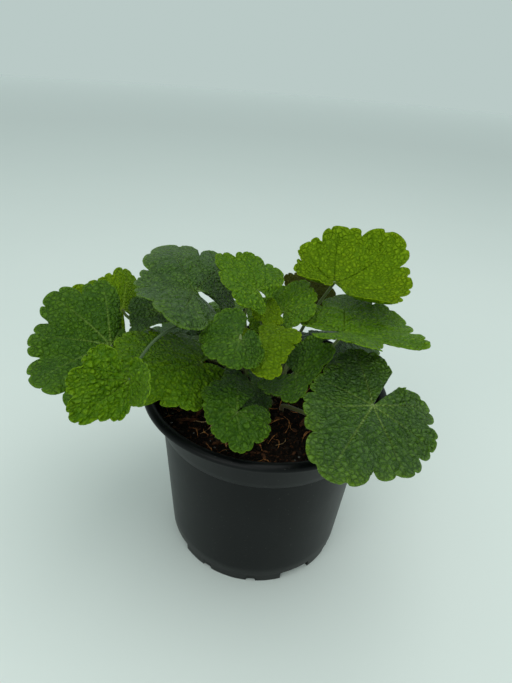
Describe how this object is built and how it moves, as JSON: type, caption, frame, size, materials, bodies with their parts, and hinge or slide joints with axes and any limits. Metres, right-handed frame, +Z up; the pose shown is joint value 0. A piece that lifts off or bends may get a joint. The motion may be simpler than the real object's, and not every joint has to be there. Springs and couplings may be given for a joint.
{
  "type": "potted fringe cups",
  "caption": "Leafy clump of fringe cups, with round lobed and toothed leaves on slender stalks, in a plain round black nursery pot filled with potting mix.",
  "frame": {"origin": "on the pot's axis, in the plane that the pot stands on", "axes": "+Z up along the pot's axis; -Y towards the showy side of the clump; +X to the right, seen from that side"},
  "size_m": [0.2497, 0.2238, 0.2199],
  "materials": {
    "pot_plastic": "thin vacuum-formed black polypropylene with a soft sheen and light scuffs",
    "potting_mix": "dark brown peat and composted bark with orange-brown fibres and pale grit",
    "crown": "brown scaly rootstock",
    "leaf_dark": "rugose, softly hairy, satin with a bluish sheen",
    "leaf_mid": "rugose, softly hairy, satin",
    "leaf_bright": "rugose, softly hairy, satin",
    "leaf_lime": "thin young tissue that light shines through, satin",
    "leaf_olive": "ageing olive tissue, satin"
  },
  "bodies": {
    "root": {"nursery_pot": "pot_plastic", "potting_mix": "potting_mix", "crown": "crown", "leaf_left_outer": "leaf_mid", "leaf_left_lower": "leaf_bright", "leaf_left_broad": "leaf_bright", "leaf_left_back": "leaf_lime", "leaf_left_shaded": "leaf_dark", "leaf_top_left": "leaf_dark", "leaf_top_middle": "leaf_mid", "leaf_middle": "leaf_mid", "leaf_young_pleated": "leaf_lime", "leaf_young_small": "leaf_lime", "leaf_back_middle": "leaf_bright", "leaf_top_right": "leaf_lime", "leaf_right_folded": "leaf_dark", "leaf_front_right": "leaf_dark", "leaf_front": "leaf_mid", "leaf_front_shaded": "leaf_dark", "leaf_right_inner": "leaf_mid", "leaf_rear_olive": "leaf_olive", "leaf_rear_left": "leaf_mid", "leaf_rear_middle": "leaf_bright", "leaf_rear_right": "leaf_dark"}
  },
  "joints": []
}
